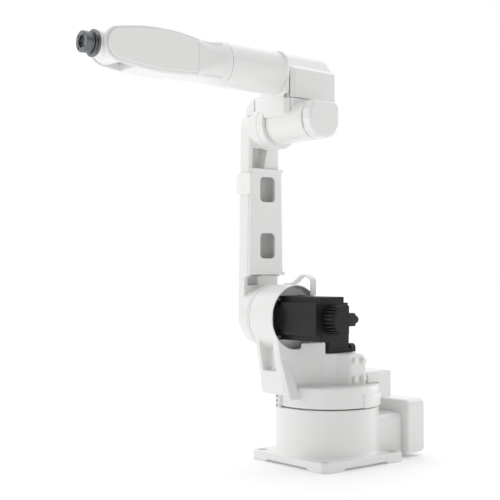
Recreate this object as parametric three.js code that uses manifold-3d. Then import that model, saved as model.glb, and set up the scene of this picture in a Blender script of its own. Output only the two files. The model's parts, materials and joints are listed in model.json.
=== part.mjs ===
// Six-axis industrial robot arm: floor base, turret, upper arm, elbow, forearm,
// wrist and tool flange, each built from separate castings, covers and drives.
// Millimetres. +Z is up, +X is the way the arm reaches, +Y is the side of the
// shoulder motor. The origin is on the first axis, at the base's seating face.
import * as THREE from "three";
import { mergeVertices } from "three/addons/utils/BufferGeometryUtils.js";
import Module from "manifold-3d";

const wasm = await Module();
wasm.setup();

// ---------------------------------------------------------------- dimensions
const GAP = 0.4; // clearance between pieces that rest on each other
const ROUND = 32; // facets of a large round piece
const SMALL = 12; // facets of a small round piece
const TINY = 8; // facets of a screw
const DRUM = 48; // facets of the base and turret drums

const axes = {
  shoulderX: 150, // second axis, forward of the first
  shoulderZ: 442,
  upperArm: 583, // second axis to third axis
  elbowRise: 143, // third axis to the forearm's axis
  forearm: 627, // third axis to the fifth, along the forearm
};

const base = {
  half: 170,
  chamfer: 18,
  padHeight: 6,
  padSize: 80,
  plateTop: 28,
  radius: 159,
  filletRadius: 6,
  top: 170,
  boreRadius: 122,
  boreFloor: 45,
  holeAt: 140,
  holeRadius: 9,
  counterbore: 15,
  neckHalf: 124,
  neckTop: 139,
  neckBack: -205,
};

const box = { front: -205.4, back: -284, half: 149, bottom: 12, top: 180, wall: 7, corner: 14 };

const turret = {
  bottom: 173,
  top: 236,
  wallFace: 27, // motor side of the housing
  farFace: -79, // arm side of the housing
  housingRadius: 98,
  recessRadius: 94,
  recessFloor: -6,
  platformTop: 331,
  webTop: 366,
};

const liftStrap = { back: 104, front: 124 };

const stop = { heading: -17, halfWide: 12, reach: 9, bottom: 167, top: 211, screws: [203, 189, 175] };

const firstMotor = { flangeHalf: 56, bodyHalf: 54, top: 415, capHalf: 42, capTop: 468 };

// Four cable glands that aren't used, closed by plugs on the motor side.
const glands = { face: 104, radius: 11, places: [[-15, 253], [-50, 253], [-15, 308], [-50, 308]] };

// The second axis's motor. Heights are along Y, from its seat in the housing.
const motor = { half: 64, notch: 17, seat: -5.6, flange: 8, end: 178, capRadius: 43, capEnd: 232 };

const RIBS_END = 226;

const arm = { lowRadius: 70, highRadius: 60, back: -170, face: -120, coverFace: -111 };

const elbow = {
  half: 62,
  ringRadius: 72,
  top: 17,
  front: 66,
  side: 61.6,
  barrelEnd: 110,
  coverEnd: 148,
};

const tube = { radius: 63.4, bore: 52, start: 72.4, end: 268.8, rebate: 264, rebateRadius: 59 };

// Along X from the third axis: the collar's start and the fork slot's.
const wrist = { start: 270, lidStart: 380, slot: 576, cheek: 43, inner: 37.4, endRadius: 48, cover: 50 };

const pivot = { radius: 12, inner: 20, motorX: [510, 410] };

// Along X from the fifth axis.
const tool = {
  snout: 52,
  snoutRadius: 35,
  housingEnd: 64,
  end: 91,
  radius: 28,
  lip: 16,
  boltCircle: 21.5,
  bolt: 3,
};

// ----------------------------------------------------------------- materials
function finish(color, roughness, metalness) {
  return new THREE.MeshStandardMaterial({ color, roughness, metalness });
}
const white = finish("#e6e6e3", 0.42, 0.05);
const black = finish("#2b2c2e", 0.5, 0.2);
const gunmetal = finish("#55585c", 0.38, 0.85);
const steel = finish("#9a9c9e", 0.35, 0.9);
const rubber = finish("#1c1c1d", 0.85, 0);
const ceramic = finish("#f2f2ef", 0.3, 0);

// -------------------------------------------------------------- solid helpers
// A closed geometry as a manifold solid, with its faces pointing out.
function solid(source) {
  const bare = source.index ? source.toNonIndexed() : source.clone();
  bare.deleteAttribute("normal");
  bare.deleteAttribute("uv");
  const merged = mergeVertices(bare, 1e-4);
  const corners = merged.index.array;
  const place = merged.attributes.position;
  const point = (i) => new THREE.Vector3().fromBufferAttribute(place, i);
  const kept = [];
  let volume = 0;
  for (let i = 0; i < corners.length; i += 3) {
    const [a, b, c] = [corners[i], corners[i + 1], corners[i + 2]];
    if (a === b || b === c || c === a) continue;
    kept.push(a, b, c);
    volume += point(a).dot(point(b).cross(point(c)));
  }
  if (volume < 0) kept.reverse();
  const vertProperties = new Float32Array(place.array);
  const triVerts = new Uint32Array(kept);
  return new wasm.Manifold(new wasm.Mesh({ numProp: 3, vertProperties, triVerts }));
}

function joined(...parts) {
  return parts.reduce((whole, part) => whole.add(part));
}

function cut(body, ...tools) {
  return tools.reduce((rest, tool) => rest.subtract(tool), body);
}

// Back from a manifold solid to a three.js geometry.
function geometryOf(body) {
  const result = body.getMesh();
  const geometry = new THREE.BufferGeometry();
  geometry.setAttribute("position", new THREE.BufferAttribute(result.vertProperties, 3));
  geometry.setIndex(new THREE.BufferAttribute(result.triVerts, 1));
  geometry.computeVertexNormals();
  return geometry;
}

function piece(name, body, material) {
  const part = new THREE.Mesh(geometryOf(body), material);
  part.name = name;
  return part;
}

function group(x, y, z, ...children) {
  const holder = new THREE.Group();
  holder.position.set(x, y, z);
  holder.add(...children);
  return holder;
}

// ------------------------------------------------------------- shape helpers
const basis = {
  // shape x, shape y and depth become these directions
  X: new THREE.Matrix4().makeBasis(
    new THREE.Vector3(0, 1, 0), new THREE.Vector3(0, 0, 1), new THREE.Vector3(1, 0, 0)),
  Y: new THREE.Matrix4().makeBasis(
    new THREE.Vector3(1, 0, 0), new THREE.Vector3(0, 0, 1), new THREE.Vector3(0, -1, 0)),
  Z: new THREE.Matrix4(),
};

// An outline pulled along an axis from low to high, with an optional bevel on
// both ends. Outlines for X are drawn in (y, z), for Y in (x, z), for Z in (x, y).
function pulled(outline, axis, low, high, bevel = 0, curveSegments = 12) {
  const options = { depth: high - low - 2 * bevel, bevelEnabled: bevel > 0, curveSegments };
  if (bevel > 0) {
    Object.assign(options, {
      bevelThickness: bevel,
      bevelSize: bevel,
      bevelOffset: -bevel,
      bevelSegments: 1,
    });
  }
  const geometry = new THREE.ExtrudeGeometry(outline, options);
  geometry.translate(0, 0, bevel);
  geometry.applyMatrix4(basis[axis]);
  const shift = axis === "Y" ? high : low;
  geometry.translate(axis === "X" ? shift : 0, axis === "Y" ? shift : 0, axis === "Z" ? shift : 0);
  return solid(geometry);
}

function polygon(points) {
  return new THREE.Shape(points.map(([x, y]) => new THREE.Vector2(x, y)));
}

// A rectangle with one radius on all four corners.
function roundedRect(x0, y0, x1, y1, r) {
  const outline = new THREE.Shape();
  outline.moveTo(x0 + r, y0);
  outline.lineTo(x1 - r, y0);
  outline.absarc(x1 - r, y0 + r, r, -Math.PI / 2, 0);
  outline.absarc(x1 - r, y1 - r, r, 0, Math.PI / 2);
  outline.absarc(x0 + r, y1 - r, r, Math.PI / 2, Math.PI);
  outline.absarc(x0 + r, y0 + r, r, Math.PI, 1.5 * Math.PI);
  return outline;
}

// A square with cut corners.
function cutSquare(half, leg, cx = 0, cy = 0) {
  const signs = [[1, 1], [-1, 1], [-1, -1], [1, -1]];
  const points = signs.flatMap(([sx, sy], turn) => {
    const pair = [[half * sx, (half - leg) * sy], [(half - leg) * sx, half * sy]];
    return turn % 2 === 0 ? pair : pair.reverse();
  });
  return polygon(points.map(([x, y]) => [x + cx, y + cy]));
}

// A square with a square notch in each corner.
function notchedSquare(half, leg) {
  const near = half - leg;
  const quarter = [[half, -near], [half, near], [near, near]];
  const points = [0, 1, 2, 3].flatMap((turn) => quarter.map(([x, y]) => {
    if (turn === 0) return [x, y];
    if (turn === 1) return [-y, x];
    return turn === 2 ? [-x, -y] : [y, -x];
  }));
  return polygon(points);
}

// Two circles of different radius joined by their outer tangents.
function link(lowRadius, highRadius, length) {
  const lean = Math.asin((lowRadius - highRadius) / length);
  const outline = new THREE.Shape();
  outline.absarc(0, length, highRadius, lean, Math.PI - lean);
  outline.absarc(0, 0, lowRadius, Math.PI - lean, 2 * Math.PI + lean);
  return outline;
}

function block(x0, x1, y0, y1, z0, z1) {
  const geometry = new THREE.BoxGeometry(x1 - x0, y1 - y0, z1 - z0);
  geometry.translate((x0 + x1) / 2, (y0 + y1) / 2, (z0 + z1) / 2);
  return solid(geometry);
}

// A turned piece: points are [radius, height] from the axis back to the axis,
// or a closed ring when the first and last points are the same.
function turned(points, axis, segments = ROUND) {
  const profile = points.map(([r, h]) => new THREE.Vector2(r, h));
  const geometry = new THREE.LatheGeometry(profile, segments);
  if (axis === "Z") geometry.rotateX(Math.PI / 2);
  if (axis === "X") geometry.rotateZ(-Math.PI / 2);
  return solid(geometry);
}

function rod(axis, radius, low, high, segments = ROUND) {
  return turned([[0, low], [radius, low], [radius, high], [0, high]], axis, segments);
}

// A rod with both rims broken by a small chamfer.
function softRod(axis, radius, low, high, edge, segments = ROUND) {
  const profile = [
    [0, low], [radius - edge, low], [radius, low + edge],
    [radius, high - edge], [radius - edge, high], [0, high],
  ];
  return turned(profile, axis, segments);
}

function ring(axis, outer, inner, low, high, segments = ROUND) {
  const profile = [[inner, low], [outer, low], [outer, high], [inner, high], [inner, low]];
  return turned(profile, axis, segments);
}

// ---------------------------------------------------------------------- base
function baseCasting() {
  const { half, chamfer, padHeight, padSize, plateTop, radius, filletRadius, top } = base;
  const plateOutline = cutSquare(half, chamfer);
  let body = pulled(plateOutline, "Z", padHeight, plateTop);
  const pads = pulled(plateOutline, "Z", 0, padHeight + 1);
  const reach = half + 1;
  const inside = half - padSize;
  const crossX = block(-reach, reach, -inside, inside, -1, padHeight);
  const crossY = block(-inside, inside, -reach, reach, -1, padHeight);
  const seat = rod("Z", padSize, 0, padHeight + 1);
  const drum = turned([
    [0, padHeight + 1], [radius, padHeight + 1], [radius + filletRadius, plateTop - 1],
    [radius + filletRadius, plateTop], [radius + 2, plateTop + 3], [radius, plateTop + filletRadius + 2],
    [radius, top - 2], [radius - 2, top], [0, top],
  ], "Z", DRUM);
  body = joined(body, cut(pads, crossX, crossY), seat, drum, neck());
  const bore = rod("Z", base.boreRadius, base.boreFloor, top + 1);
  const duct = block(base.neckBack - 1, 0, -80, 80, 58, 118);
  body = cut(body, bore, duct);
  for (const sx of [-1, 1]) {
    for (const sy of [-1, 1]) {
      const hole = joined(
        rod("Z", base.holeRadius, -1, plateTop + 1, SMALL),
        rod("Z", base.counterbore, plateTop - 9, plateTop + 1, SMALL),
      ).translate([sx * base.holeAt, sy * base.holeAt, 0]);
      body = cut(body, hole);
    }
  }
  return body;
}

function neck() {
  const { neckHalf, neckTop, neckBack, plateTop } = base;
  const corner = 16;
  const outline = new THREE.Shape();
  outline.moveTo(-neckHalf, plateTop - 10);
  outline.lineTo(neckHalf, plateTop - 10);
  outline.absarc(neckHalf - corner, neckTop - corner, corner, 0, Math.PI / 2);
  outline.absarc(corner - neckHalf, neckTop - corner, corner, Math.PI / 2, Math.PI);
  return pulled(outline, "X", neckBack, -80, 0, 5);
}

function connectorBox() {
  const { front, back, half, bottom, top, wall, corner } = box;
  const outer = pulled(roundedRect(-half, bottom, half, top, corner), "X", back, front, 5, 6);
  const room = block(back - 1, front - wall, wall - half, half - wall, bottom + wall, top - wall);
  const window = block(front - wall - 1, front + 1, -78, 78, 60, 116);
  return cut(outer, room, window);
}

function connectorPanel() {
  const { back, half, bottom, top, wall } = box;
  const edge = wall - GAP;
  const face = roundedRect(edge - half, bottom + edge, half - edge, top - edge, 4);
  return pulled(face, "X", back - 4, back - GAP, 0, 3);
}

function heavyConnector(centre, halfWide) {
  const face = box.back - 4 - GAP;
  const foot = pulled(roundedRect(centre - halfWide, 66, centre + halfWide, 126, 5), "X", face - 8, face, 0, 3);
  const hood = pulled(
    roundedRect(centre - halfWide + 6, 74, centre + halfWide - 6, 118, 4), "X", face - 26, face - 7, 0, 3);
  return joined(foot, hood);
}

function airFitting(centre) {
  const face = box.back - 4 - GAP;
  const height = 42;
  const nut = pulled(cutSquare(10, 4, centre, height), "X", face - 8, face);
  const barb = turned([[0, face - 22], [6, face - 22], [6, face - 7], [0, face - 7]], "X", SMALL)
    .translate([0, centre, height]);
  return joined(nut, barb);
}

function reducerCase() {
  return ring("Z", base.boreRadius - 2, 52, base.boreFloor + GAP, 148);
}

function baseParts() {
  return [
    piece("base_casting", baseCasting(), white),
    piece("connector_box", connectorBox(), white),
    piece("connector_panel", connectorPanel(), white),
    piece("power_connector", heavyConnector(-80, 44), black),
    piece("signal_connector", heavyConnector(10, 34), black),
    piece("air_fitting_1", airFitting(64), steel),
    piece("air_fitting_2", airFitting(88), steel),
    piece("j1_reducer_case", reducerCase(), steel),
  ];
}

// -------------------------------------------------------------------- turret
// The front column: its front face leans out towards the shoulder housing.
function column() {
  const { shoulderX } = axes;
  const outline = polygon([
    [120, 212], [196, 212], [199, 216], [207, 276], [225, 379], [shoulderX + 40, 430],
    [shoulderX - 30, 430], [110, 366], [110, 230],
  ]);
  const body = pulled(outline, "Y", turret.farFace, turret.wallFace, 4, 4);
  const pocket = pulled(roundedRect(-60, 283, 0, 379, 3), "X", 184, 240, 0, 2);
  return cut(body, pocket);
}

// The column's motor side flares out towards its foot on the drum.
function gusset() {
  const inside = turret.wallFace - 7;
  return wasm.Manifold.hull([
    [220, inside, 363], [198, inside, 363], [196, inside, 200], [140, inside, 200],
    [190, 46, 200], [150, 46, 200],
  ]);
}

// The rear of the casting steps down from a web to the first motor's platform.
function rearCasting() {
  const { farFace, top, webTop, platformTop } = turret;
  const web = polygon([[180, 20], [120, 34], [59, 60], [59, farFace + 6], [180, farFace + 6]]);
  const platform = polygon([
    [70, 58], [56, 62], [30, 74], [2, 104], [-70, 104], [-70, farFace + 6], [70, farFace + 6],
  ]);
  const low = pulled(platform, "Z", top - 2, platformTop);
  const shoulder = 34;
  const trim = new THREE.Shape();
  trim.moveTo(-72, platformTop - shoulder);
  trim.absarc(-70 + shoulder, platformTop - shoulder, shoulder, Math.PI, Math.PI / 2, true);
  trim.lineTo(-70 + shoulder, platformTop + 2);
  trim.lineTo(-72, platformTop + 2);
  const rounding = pulled(trim, "Y", 60, 106, 0, 6);
  return joined(cut(low, rounding), pulled(web, "Z", top - 2, webTop));
}

// A raised band on the drum, between two headings in degrees.
function drumPad(from, to, rise, low, high) {
  const outline = new THREE.Shape();
  const [a, b] = [THREE.MathUtils.degToRad(from), THREE.MathUtils.degToRad(to)];
  outline.absarc(0, 0, base.radius + rise, a, b, false);
  outline.absarc(0, 0, base.radius - 8, b, a, true);
  return pulled(outline, "Z", low, high, 0, 8);
}

function turretCasting() {
  const { bottom, top, farFace, wallFace, housingRadius, recessRadius, recessFloor } = turret;
  const drum = cut(
    softRod("Z", base.radius, bottom, top, 3, DRUM),
    rod("Z", 132, bottom - 1, top - 14),
  );
  const housing = softRod("Y", housingRadius, farFace, wallFace, 3)
    .translate([axes.shoulderX, 0, axes.shoulderZ]);
  const seat = joined(
    rod("Y", recessRadius, recessFloor, wallFace + 1),
    rod("Y", 46, farFace - 1, recessFloor + 1),
  ).translate([axes.shoulderX, 0, axes.shoulderZ]);
  const pad = drumPad(89, 135, 6, bottom, 212);
  return cut(joined(drum, column(), gusset(), rearCasting(), housing, pad), seat);
}

function turretHub() {
  return rod("Z", 112, 148 + GAP, turret.bottom - GAP);
}

function stopBlock() {
  const { halfWide, reach, bottom, top } = stop;
  const inner = base.radius + GAP;
  const lug = block(inner - 6, inner + reach, -halfWide, halfWide, bottom, top);
  return cut(lug, rod("Z", inner, bottom - 1, top + 1, DRUM));
}

function stopScrew(height) {
  const face = base.radius + 2 * GAP + stop.reach;
  return rod("X", 4, face, face + 2.5, TINY).translate([0, 0, height]);
}

function firstMotorBody() {
  const low = turret.platformTop + GAP;
  const flange = pulled(cutSquare(firstMotor.flangeHalf, 8), "Z", low, low + 12);
  return joined(flange, pulled(cutSquare(firstMotor.bodyHalf, 12), "Z", low + 11, firstMotor.top));
}

function firstMotorCap() {
  const { capHalf, top, capTop } = firstMotor;
  return pulled(roundedRect(-capHalf, -capHalf, capHalf, capHalf, 12), "Z", top + GAP, capTop, 3, 4);
}

function firstMotorPlug() {
  const low = turret.platformTop + GAP;
  const outline = new THREE.Shape();
  outline.moveTo(22, low);
  outline.lineTo(50, low);
  outline.absarc(36, low + 12, 14, 0, Math.PI);
  const face = -firstMotor.flangeHalf - GAP;
  return pulled(outline, "X", face - 20, face, 0, 6);
}

function glandPlug() {
  const { face, radius } = glands;
  const start = face + GAP;
  const profile = [
    [0, start], [radius, start], [radius, start + 3], [radius - 1.5, start + 7],
    [radius - 5, start + 10], [0, start + 11],
  ];
  return turned(profile, "Y", SMALL);
}

function rearBox() {
  const outline = polygon([
    [-183, 188], [-78, 188], [-78, 258], [-71, 258], [-71, 272], [-183, 272],
  ]);
  const body = pulled(outline, "Y", -78, 100, 3, 2);
  return cut(body, rod("Z", base.radius + 0.8, 180, turret.top + 1, DRUM));
}

// A bent strap over the shoulder housing, used to lift the arm.
function liftingBracket() {
  const outline = polygon([
    [-62, 537.5], [-62, 543], [-30, 548], [10, 570], [32, 572], [52, 564], [64, 548], [64, 508],
    [56, 508], [56, 544], [46, 556], [30, 563], [14, 561], [-16, 544], [-22, 537.5],
  ]);
  return pulled(outline, "X", liftStrap.back, liftStrap.front);
}

function atShoulder(body) {
  return body.translate([axes.shoulderX, 0, axes.shoulderZ]);
}

function shoulderMotorFlange() {
  return atShoulder(pulled(cutSquare(65, 13), "Y", motor.seat, motor.flange));
}

function shoulderMotorBody() {
  const neckEnd = motor.flange + 20;
  const throat = pulled(cutSquare(motor.half, 34), "Y", motor.flange + GAP, neckEnd + 1);
  const trunk = pulled(notchedSquare(motor.half, motor.notch), "Y", neckEnd, motor.end);
  return atShoulder(joined(throat, trunk));
}

// The ribbed rear cover, cut flat on the side where the connector sits.
function shoulderMotorRibs() {
  const { end, capRadius } = motor;
  const count = 24;
  const root = capRadius - 6;
  const points = [];
  for (let i = 0; i < count; i += 1) {
    for (const [share, radius] of [[0, capRadius], [0.5, capRadius], [0.5, root], [1, root]]) {
      const angle = (2 * Math.PI * (i + share)) / count;
      points.push([radius * Math.cos(angle), radius * Math.sin(angle)]);
    }
  }
  return atShoulder(cut(pulled(polygon(points), "Y", end + GAP, RIBS_END), capFlat()));
}

function shoulderMotorCap() {
  const { capRadius, capEnd } = motor;
  return atShoulder(cut(softRod("Y", capRadius, RIBS_END + GAP, capEnd, 1.5), capFlat()));
}

function capFlat() {
  const { capRadius, end, capEnd } = motor;
  return block(-capRadius - 1, -14, end, capEnd + 1, -capRadius - 1, capRadius + 1);
}

function shoulderMotorPlug() {
  const edge = -motor.capRadius;
  const shell = pulled(roundedRect(196, -19, 231, 19, 5), "X", edge, -14 - GAP, 0, 4);
  const stub = rod("X", 11.5, edge - 16, edge + 1, SMALL).translate([0, 216, 0]);
  return atShoulder(joined(shell, stub));
}

function shoulderMotorScrew(sx, sz) {
  const low = motor.flange + GAP;
  const spot = 55;
  const head = rod("Y", 4.5, low, low + 5, TINY);
  return atShoulder(head.translate([sx * spot, 0, sz * spot]));
}

function shoulderReducerCase() {
  const body = softRod("Y", turret.housingRadius, -95.4, turret.farFace - GAP, 2);
  return atShoulder(cut(body, rod("Y", 46, -97, -70)));
}

function turretParts() {
  const stopScrews = stop.screws.map((height, i) =>
    piece(`j1_stop_screw_${i + 1}`, stopScrew(height), steel));
  const stopLug = group(0, 0, 0, piece("j1_stop_block", stopBlock(), white), ...stopScrews);
  stopLug.rotation.z = THREE.MathUtils.degToRad(stop.heading);
  const plugs = glands.places.map(([x, z], i) => {
    const plug = piece(`gland_plug_${i + 1}`, glandPlug(), ceramic);
    plug.position.set(x, 0, z);
    return plug;
  });
  const corners = [[-1, -1], [1, -1], [-1, 1], [1, 1]];
  const screws = corners.map(([sx, sz], i) =>
    piece(`j2_motor_screw_${i + 1}`, shoulderMotorScrew(sx, sz), steel));
  return [
    piece("turret_casting", turretCasting(), white),
    piece("j1_reducer_hub", turretHub(), steel),
    stopLug,
    piece("j1_motor_body", firstMotorBody(), black),
    piece("j1_motor_cap", firstMotorCap(), black),
    piece("j1_motor_plug", firstMotorPlug(), black),
    ...plugs,
    piece("turret_rear_box", rearBox(), white),
    piece("lifting_bracket", liftingBracket(), white),
    piece("j2_reducer_case", shoulderReducerCase(), white),
    piece("j2_motor_flange", shoulderMotorFlange(), black),
    piece("j2_motor_body", shoulderMotorBody(), black),
    piece("j2_motor_ribs", shoulderMotorRibs(), black),
    piece("j2_motor_cap", shoulderMotorCap(), black),
    piece("j2_motor_plug", shoulderMotorPlug(), black),
    ...screws,
  ];
}

// ----------------------------------------------------------------- upper arm
function armCasting() {
  const { lowRadius, highRadius, back, face } = arm;
  const length = axes.upperArm;
  const shell = pulled(link(lowRadius, highRadius, length), "Y", back, face, 9, 12);
  const hollow = pulled(link(lowRadius - 13, highRadius - 13, length), "Y", back + 12, face + 1, 0, 6);
  const room = cut(
    hollow,
    block(-100, 100, -200, 0, -100, 96),
    block(-100, 100, -200, 0, 518, 700),
    block(-100, 14, -200, 0, 95, 127),
    block(-100, 4, -200, 0, 456, 519),
  );
  const waist = cut(
    block(-100, 100, -136, face + 1, -100, 122),
    rod("Y", 60, -140, face + 2),
  );
  const lowHub = softRod("Y", 90, -136, -96, 2);
  const highHub = softRod("Y", 66, -124, -104.2, 2).translate([0, 0, length]);
  return joined(cut(shell, room, waist), lowHub, highHub);
}

// The cover lies over the hollow side, with two windows and a lip at each end.
function armCover() {
  const { lowRadius, highRadius, face, coverFace } = arm;
  const low = 128;
  const high = 455;
  const sheet = pulled(link(lowRadius, highRadius, axes.upperArm), "Y", face + GAP, coverFace, 3, 8);
  let body = cut(sheet, block(-100, 100, -200, 0, -100, low), block(-100, 100, -200, 0, high, 700));
  for (const level of [low, high - 8]) {
    const half = 60 + ((high - level) / (high - low)) * 7;
    const lip = block(-half, half - 4, coverFace - 4, coverFace + 5, level, level + 8);
    const lug = block(-half - 8, -half + 4, coverFace - 6, coverFace + 2, level - 2, level + 10);
    body = joined(body, lip, lug);
  }
  for (const [z0, z1] of [[178, 256], [353, 430]]) {
    body = cut(body, pulled(roundedRect(-35, z0, 25, z1, 12), "Y", -130, -100, 0, 4));
  }
  return body;
}

function armClip() {
  const { lowRadius, highRadius } = arm;
  const clear = 0.5;
  const wrap = pulled(roundedRect(-172, 375, -108, 440, 2), "X", 50, 70, 0, 2);
  const keep = pulled(link(lowRadius + clear, highRadius + clear, axes.upperArm), "Y", -190, -90, 0, 14);
  return cut(wrap, keep);
}

// A wedge on the arm's head that the elbow would come to rest against.
function elbowStop() {
  const outline = polygon([[-144, 618], [-144, 638], [-114, 667], [-106, 667], [-106, 618]]);
  const wedge = pulled(outline, "X", 30, 56);
  const head = rod("Y", arm.highRadius + GAP, -200, -119);
  const hub = rod("Y", 66 + GAP, -125, -100);
  return cut(wedge, joined(head, hub).translate([0, 0, axes.upperArm]));
}

function upperArmParts() {
  return [
    piece("upper_arm_casting", armCasting(), white),
    piece("upper_arm_cover", armCover(), white),
    piece("cable_clip", armClip(), ceramic),
    piece("elbow_stop", elbowStop(), white),
  ];
}

// --------------------------------------------------------------------- elbow
// The lower elbow's section: flat on top, round below.
function cradle(half, top) {
  const outline = new THREE.Shape();
  outline.moveTo(half, top);
  outline.lineTo(-half, top);
  outline.absarc(0, 0, half, Math.PI, 2 * Math.PI);
  return outline;
}

function elbowCasting() {
  const { half, top, front, side, barrelEnd } = elbow;
  const rise = axes.elbowRise;
  const cup = pulled(cradle(half - 3, top), "Y", -48, side, 3, 14);
  const lower = joined(cup, softRod("Y", half - 3, side - 10, barrelEnd, 3));
  // The block over the two drives, wide enough to carry the reducer on the far side.
  const flank = -95;
  const section = polygon([
    [-50, flank], [60, flank], [front, -62], [front, 42], [48, side], [-50, side],
  ]);
  const web = pulled(section, "Z", top, 67, 4, 4);
  const ear = pulled(polygon([[20, flank], [60, flank], [front, -64], [20, -64]]), "Z", 62, 84);
  const brow = block(60, front, -64, 42, 62, 78);
  const groove = block(47, 53, side - 7, side + 1, top + 3, 68);
  const reducer = rod("Y", elbow.ringRadius + GAP, flank - 1, -48);
  const waist = rod("X", 59, 54.4, 61).translate([0, 0, rise]);
  const root = pulled(roundedRect(-side, 77, side, rise + 65, 44), "X", 60, 72, 0, 8);
  const rootFoot = pulled(roundedRect(-side, 77, side, 130, 10), "X", 60, 72, 0, 4);
  const core = joined(
    pulled(roundedRect(-46, 50, 50, rise, 8), "X", -40, 55, 0, 4),
    rod("X", 42, -40, 55).translate([0, 0, rise]),
  );
  const drill = rod("Y", 48, -60, barrelEnd + 1);
  const gallery = rod("X", 34, -60, 90).translate([0, 0, rise]);
  const body = joined(lower, web, ear, brow, waist, root, rootFoot, core);
  return cut(body, drill, gallery, reducer, groove);
}

function elbowReducer() {
  const outer = softRod("Y", elbow.ringRadius, -103.6, -48 - GAP, 2);
  return cut(outer, rod("Y", 40, -110, -40));
}

function elbowMotor() {
  return joined(rod("Y", 42, -40, 60), pulled(cutSquare(31, 7), "Y", 59, 135));
}

// Seen along the third axis: flat on top, with sloping corners.
function endCoverOutline(depth) {
  const corners = [
    [38, 50], [-52, 50], [-62, 36], [-62, -18], [-42, -48], [-12, -59], [24, -56], [48, -36],
    [58, -6], [56, 24],
  ];
  const share = 1 - depth / 60;
  return polygon(corners.map(([x, z]) => [x * share, z * share]));
}

function elbowMotorCover() {
  const { barrelEnd, coverEnd } = elbow;
  const outer = pulled(endCoverOutline(0), "Y", barrelEnd + GAP, coverEnd, 8);
  const room = pulled(endCoverOutline(10), "Y", barrelEnd, coverEnd - 8);
  return cut(outer, room);
}

// The rear cover's section, from the forearm's axis: a ridge on each flank and
// sloping shoulders up to the crown.
function rearCoverOutline() {
  const right = [[63, -75], [63, 10], [46, 23], [24, 51], [10, 63]];
  const left = right.map(([y, z]) => [-y, z]).reverse();
  return polygon([...right, ...left]);
}

function forearmMotorCover() {
  const outer = pulled(rearCoverOutline(), "X", -128, 54, 4, 4);
  const chamfered = cut(outer,
    ...[-1, 1].map((s) => pulled(
      polygon([[34, s * 63.1], [54.1, s * 55], [54.1, s * 63.1]]), "Z", -90, 90)));
  const room = joined(
    block(-122, 55, -56, 56, -84, 4),
    rod("X", 46, -122, 55),
  );
  const raised = cut(chamfered, room).translate([0, 0, axes.elbowRise]);
  return cut(raised, rod("Y", elbow.ringRadius + 1, -120, -47));
}

function forearmMotor() {
  const can = joined(rod("X", 36, -108, -40 - GAP), rod("X", 30, -40 - 2 * GAP, 20));
  return can.translate([0, 0, axes.elbowRise]);
}

function forearmTube() {
  const { radius, bore, start, end, rebate, rebateRadius } = tube;
  const profile = [
    [bore, start], [radius + 3, start], [radius + 2, start + 3], [radius, start + 18],
    [radius, end - 1], [radius - 1, end], [rebateRadius, end], [rebateRadius, rebate],
    [bore, rebate], [bore, start],
  ];
  return turned(profile, "X");
}

function forearmSeal() {
  const { rebate, rebateRadius, bore } = tube;
  return ring("X", rebateRadius - GAP, bore + 2, rebate + GAP, wrist.start - GAP);
}

function elbowParts() {
  return [
    piece("j3_reducer_ring", elbowReducer(), white),
    piece("elbow_casting", elbowCasting(), white),
    piece("j3_motor", elbowMotor(), black),
    piece("j3_motor_cover", elbowMotorCover(), white),
    piece("j4_motor", forearmMotor(), black),
    piece("j4_motor_cover", forearmMotorCover(), white),
    group(0, 0, axes.elbowRise,
      piece("forearm_tube", forearmTube(), white),
      piece("forearm_seal", forearmSeal(), rubber)),
  ];
}

// --------------------------------------------------------------------- wrist
// The wrist housing's side outline, from the collar to the fork's round nose.
function wristOutline(inset) {
  const nose = axes.forearm;
  const start = wrist.start + 20;
  const outline = new THREE.Shape();
  outline.moveTo(start, 56 - inset);
  outline.splineThru([
    new THREE.Vector2(345, 50 - inset),
    new THREE.Vector2(400, 56 - inset),
    new THREE.Vector2(455, 62 - inset),
    new THREE.Vector2(530, 62 - inset),
    new THREE.Vector2(590, 55 - inset),
    new THREE.Vector2(nose + 5, wrist.endRadius - inset),
  ]);
  outline.absarc(nose, 0, wrist.endRadius - inset, 1.4, -1.4, true);
  outline.splineThru([
    new THREE.Vector2(570, inset - 55),
    new THREE.Vector2(500, inset - 59),
    new THREE.Vector2(446, inset - 57),
    new THREE.Vector2(345, inset - 53),
    new THREE.Vector2(start, inset - 58),
  ]);
  return outline;
}

function wristHousing() {
  const { start, slot, cheek, inner, cover, lidStart } = wrist;
  const collar = turned([
    [0, start], [tube.radius - 1, start], [tube.radius, start + 1],
    [tube.radius, start + 10], [tube.radius - 8, start + 62], [0, start + 90],
  ], "X");
  const slab = pulled(wristOutline(0), "Y", -cheek, cheek, 5, 4);
  const flanks = pulled(wristOutline(0), "Y", -cover, cover, 5, 4);
  const root = cut(flanks, block(lidStart, 800, -100, 100, -100, 100));
  const fork = block(slot, 800, -inner, inner, -120, 120);
  const room = pulled(roundedRect(lidStart + 1, -40, 550, 42, 10), "Y", -60, 60, 0, 4);
  const feed = rod("X", 36, start - 1, lidStart + 5);
  const pivots = rod("Y", pivot.radius + 1, -60, 60, SMALL).translate([axes.forearm, 0, 0]);
  return cut(joined(collar, slab, root), fork, room, feed, pivots);
}

// side is +1 for the shoulder-motor side and -1 for the other.
function wristCover(side) {
  const low = wrist.cheek + GAP;
  const [a, b] = side > 0 ? [low, wrist.cover] : [-wrist.cover, -low];
  const plate = pulled(wristOutline(3), "Y", a, b, 2.5, 4);
  return cut(plate, block(0, wrist.lidStart + GAP, -100, 100, -100, 100));
}

function wristMotor(x) {
  const trunk = pulled(cutSquare(27, 5, x, 2), "Y", -40, 30);
  return joined(trunk, rod("Y", 9, 29, 41, SMALL).translate([x, 0, 2]));
}

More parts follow.
